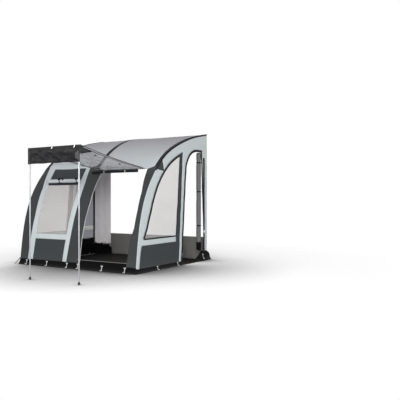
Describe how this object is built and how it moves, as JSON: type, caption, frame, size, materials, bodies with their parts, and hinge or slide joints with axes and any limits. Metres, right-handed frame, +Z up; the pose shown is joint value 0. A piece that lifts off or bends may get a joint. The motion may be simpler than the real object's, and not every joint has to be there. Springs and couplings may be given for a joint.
{
  "type": "caravan awning",
  "caption": "Inflatable porch awning with a bowed sloping front, clear windows, side doorways, mud skirts and a front panel raised on telescopic poles as a canopy.",
  "frame": {"origin": "on the ground, under the middle of the footprint: half way along the rail and half way from the rail plane to the front foot", "axes": "+Z up, +X along the rail to the right as seen from the front, +Y from the front towards the rail"},
  "size_m": [2.6716, 3.557, 2.42],
  "materials": {
    "roof_cloth": "coated woven polyester",
    "light_cloth": "coated woven polyester",
    "dark_cloth": "coated woven polyester",
    "tape_cloth": "coated woven polyester",
    "black_vinyl": "semi-gloss coated",
    "clear_film": "clear flexible film",
    "beam_sleeve": "matte sleeve",
    "steel_tube": "satin silver",
    "black_rubber": "matte",
    "valve_plastic": "moulded",
    "pad_cloth": "padded cloth"
  },
  "bodies": {
    "awning": {"air_beam_left": "beam_sleeve", "air_beam_centre": "beam_sleeve", "air_beam_right": "beam_sleeve", "valve_left": "valve_plastic", "valve_centre": "valve_plastic", "valve_right": "valve_plastic", "beam_cover_left": "tape_cloth", "beam_cover_centre": "tape_cloth", "beam_cover_right": "tape_cloth", "roof_panel_left": "roof_cloth", "roof_panel_right": "roof_cloth", "rail_bead": "tape_cloth", "bay_trim": "light_cloth", "bay_lower_panel": "dark_cloth", "bay_window": "clear_film", "bay_upper_panel": "dark_cloth", "blind_roll": "light_cloth", "screen_roll": "black_vinyl", "door_sill": "black_vinyl", "side_trim_right": "light_cloth", "side_window_right": "clear_film", "side_surround_right": "dark_cloth", "side_frame_right": "light_cloth", "door_binding_right": "tape_cloth", "side_trim_left": "light_cloth", "side_window_left": "clear_film", "side_surround_left": "dark_cloth", "side_frame_left": "light_cloth", "door_binding_left": "tape_cloth", "door_panel_left": "light_cloth", "door_foot_left": "black_vinyl", "rolled_door_right": "pad_cloth", "mud_skirt": "black_vinyl", "skirt_rear_right": "black_vinyl", "skirt_rear_left": "black_vinyl", "groundsheet": "black_vinyl", "draught_skirt": "pad_cloth", "rear_pad_right": "pad_cloth", "rear_pad_left": "pad_cloth", "rear_pole_right": "steel_tube", "rear_pole_left": "steel_tube", "rear_flap_left": "light_cloth"},
    "canopy": {"canopy_trim": "light_cloth", "canopy_window": "clear_film", "canopy_end": "dark_cloth", "canopy_bar": "steel_tube"},
    "valance": {"canopy_valance": "dark_cloth"},
    "pole_left": {"pole_outer_left": "steel_tube"},
    "pole_right": {"pole_outer_right": "steel_tube"},
    "pole_left_lower": {"pole_inner_left": "steel_tube", "pole_foot_left": "black_rubber"},
    "pole_right_lower": {"pole_inner_right": "steel_tube", "pole_foot_right": "black_rubber"},
    "rear_pole_left_lower": {"rear_pole_inner_left": "steel_tube"},
    "rear_pole_right_lower": {"rear_pole_inner_right": "steel_tube"},
    "cap_left": {"valve_cap_left": "valve_plastic"},
    "cap_centre": {"valve_cap_centre": "valve_plastic"},
    "cap_right": {"valve_cap_right": "valve_plastic"},
    "slider_left": {"zip_slider_left": "steel_tube"},
    "slider_right": {"zip_slider_right": "steel_tube"}
  },
  "joints": [
    {"name": "canopy_tilt", "type": "hinge", "parent": "awning", "child": "canopy", "pos_m": [0, -0.56186, 1.67835], "axis": [-1, 0, 0], "range_deg": [-8, 5.5]},
    {"name": "valance_swing", "type": "hinge", "parent": "canopy", "child": "valance", "pos_m": [0, -2.275, 1.896], "axis": [-1, 0, 0], "range_deg": [-6, 8.5]},
    {"name": "pole_left_swing", "type": "hinge", "parent": "canopy", "child": "pole_left", "pos_m": [0.263, -2.275, 1.896], "axis": [-1, 0, 0], "range_deg": [-6, 8.5]},
    {"name": "pole_right_swing", "type": "hinge", "parent": "canopy", "child": "pole_right", "pos_m": [1.217, -2.275, 1.896], "axis": [-1, 0, 0], "range_deg": [-6, 8.5]},
    {"name": "pole_left_slide", "type": "slide", "parent": "pole_left", "child": "pole_left_lower", "axis": [0, 0, -1], "range_m": [-0.245, 0.17]},
    {"name": "pole_right_slide", "type": "slide", "parent": "pole_right", "child": "pole_right_lower", "axis": [0, 0, -1], "range_m": [-0.245, 0.17]},
    {"name": "rear_pole_left_slide", "type": "slide", "parent": "awning", "child": "rear_pole_left_lower", "axis": [0, 0, 1], "range_m": [0, 0.2]},
    {"name": "rear_pole_right_slide", "type": "slide", "parent": "awning", "child": "rear_pole_right_lower", "axis": [0, 0, 1], "range_m": [0, 0.2]},
    {"name": "cap_left_turn", "type": "hinge", "parent": "awning", "child": "cap_left", "pos_m": [-1.2427, -0.9575, 0.40113], "axis": [0, 0.9911, -0.1333], "range_deg": [0, 270]},
    {"name": "cap_centre_turn", "type": "hinge", "parent": "awning", "child": "cap_centre", "pos_m": [0, -0.9575, 0.40113], "axis": [0, 0.9911, -0.1333], "range_deg": [0, 270]},
    {"name": "cap_right_turn", "type": "hinge", "parent": "awning", "child": "cap_right", "pos_m": [1.2427, -0.9575, 0.40113], "axis": [0, 0.9911, -0.1333], "range_deg": [0, 270]},
    {"name": "slider_left_run", "type": "slide", "parent": "awning", "child": "slider_left", "axis": [0, 0.0815, 0.9967], "range_m": [0, 1.35]},
    {"name": "slider_right_run", "type": "slide", "parent": "awning", "child": "slider_right", "axis": [0, 0.0815, 0.9967], "range_m": [0, 1.35]}
  ],
  "couplings": [
    {"joint": "valance_swing", "follows": "canopy_tilt", "ratio": -1},
    {"joint": "pole_left_swing", "follows": "canopy_tilt", "ratio": -1},
    {"joint": "pole_right_swing", "follows": "canopy_tilt", "ratio": -1},
    {"joint": "pole_left_slide", "follows": "canopy_tilt", "m_per_rad": 1.7131},
    {"joint": "pole_right_slide", "follows": "canopy_tilt", "m_per_rad": 1.7131}
  ]
}
